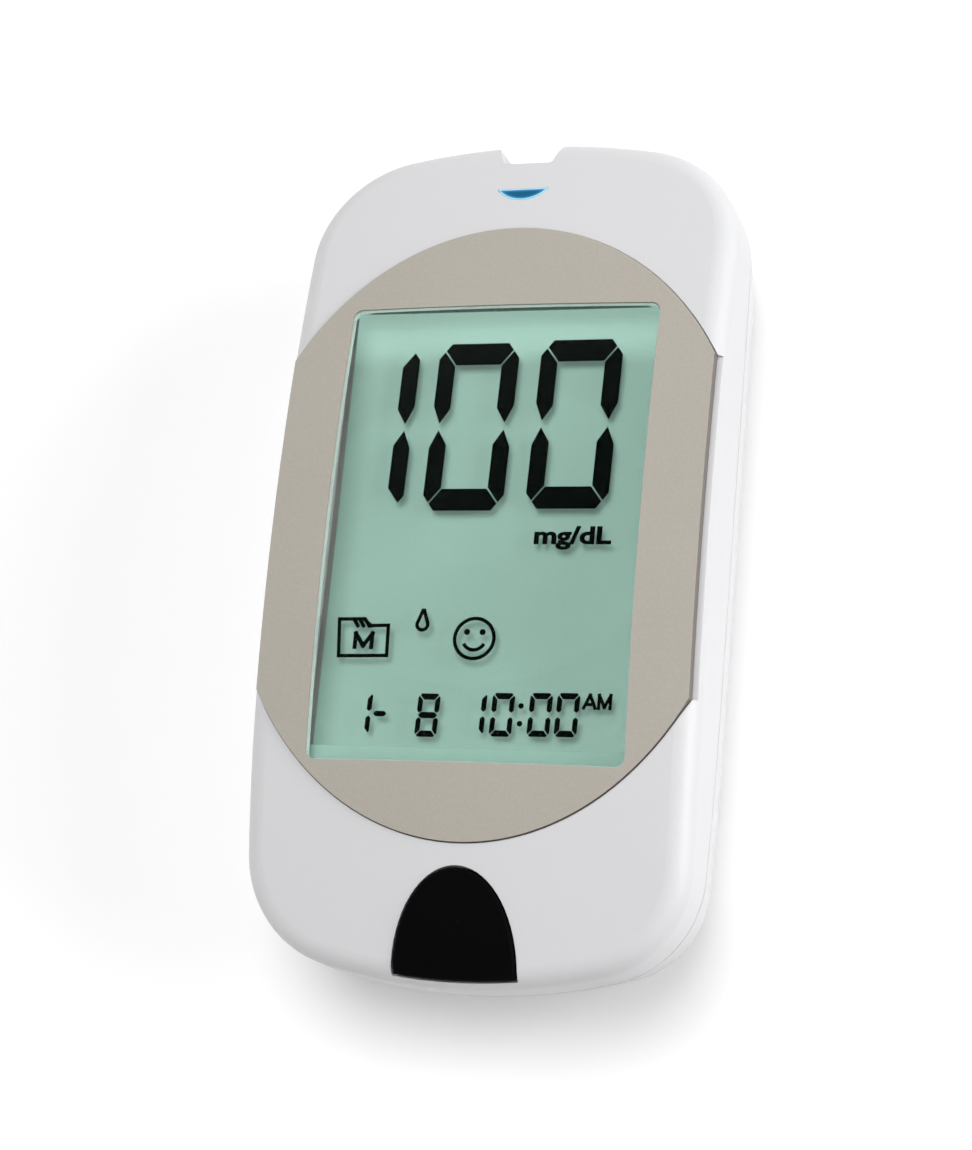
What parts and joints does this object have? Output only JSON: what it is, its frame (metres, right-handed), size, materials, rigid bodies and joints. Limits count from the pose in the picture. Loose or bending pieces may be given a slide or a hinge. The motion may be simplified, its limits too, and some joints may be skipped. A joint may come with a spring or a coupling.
{
  "type": "blood glucose meter",
  "caption": "Hand-held blood glucose meter with a large segment display, one push button, a lit test strip notch and a battery door.",
  "frame": {"origin": "centre of the footprint on the flat back", "axes": "+X across the meter, +Y along it towards the strip port, +Z out of the display"},
  "size_m": [0.05, 0.096, 0.0236],
  "materials": {
    "shell_white": "satin moulded, faint fine grain",
    "plate_grey": "satin paint on plastic, warm grey",
    "lens_clear": "clear gloss",
    "display_glass": "clear gloss",
    "polariser_film": "satin film",
    "reflector_green": "pearly film",
    "holder_white": "moulded",
    "button_black": "satin moulded",
    "light_blue": "translucent",
    "contact_rubber": "matt",
    "switch_black": "moulded",
    "connector_white": "moulded",
    "contact_gold": "bright",
    "contact_nickel": "bright",
    "spring_steel": "drawn wire",
    "cell_sleeve": "gloss sleeve",
    "board_green": "solder mask",
    "chip_black": "moulded package",
    "part_ceramic": "fired",
    "crystal_can": "pressed",
    "screw_steel": "zinc plated",
    "label_paper": "matt film"
  },
  "bodies": {
    "housing": {"front_shell": "shell_white", "rear_shell": "shell_white", "display_plate": "plate_grey", "display_lens": "lens_clear", "lcd_front_polariser": "polariser_film", "lcd_front_glass": "display_glass", "lcd_rear_glass": "display_glass", "lcd_reflector": "reflector_green", "lcd_contact_strip": "contact_rubber", "lcd_holder": "holder_white", "main_switch": "switch_black", "set_switch": "switch_black", "port_light": "light_blue", "port_led": "part_ceramic", "strip_connector": "connector_white", "strip_contacts": "contact_gold", "battery_left": "cell_sleeve", "battery_right": "cell_sleeve", "battery_link_plate": "contact_nickel", "battery_terminals": "contact_nickel", "battery_springs": "spring_steel", "circuit_board": "board_green", "processor_chip": "chip_black", "memory_chip": "chip_black", "sensor_chip": "chip_black", "clock_crystal": "crystal_can", "board_passives": "part_ceramic", "buzzer": "switch_black", "case_screws": "screw_steel", "rear_label": "label_paper"},
    "main_button": {"main_button": "button_black", "main_switch_plunger": "switch_black"},
    "set_button": {"set_button": "holder_white", "set_switch_plunger": "switch_black"},
    "battery_cover": {"battery_cover": "shell_white"}
  },
  "joints": [
    {"name": "main_button_press", "type": "slide", "parent": "housing", "child": "main_button", "axis": [0, 0, -1], "range_m": [0, 0.0005], "stiffness_N_per_m": 500, "springref_m": -0.001},
    {"name": "set_button_press", "type": "slide", "parent": "housing", "child": "set_button", "axis": [0, 0, 1], "range_m": [0, 0.0005], "stiffness_N_per_m": 500, "springref_m": -0.001},
    {"name": "battery_cover_swing", "type": "hinge", "parent": "housing", "child": "battery_cover", "pos_m": [0, -0.0363, 0], "axis": [-1, 0, 0], "range_deg": [0, 50]}
  ]
}
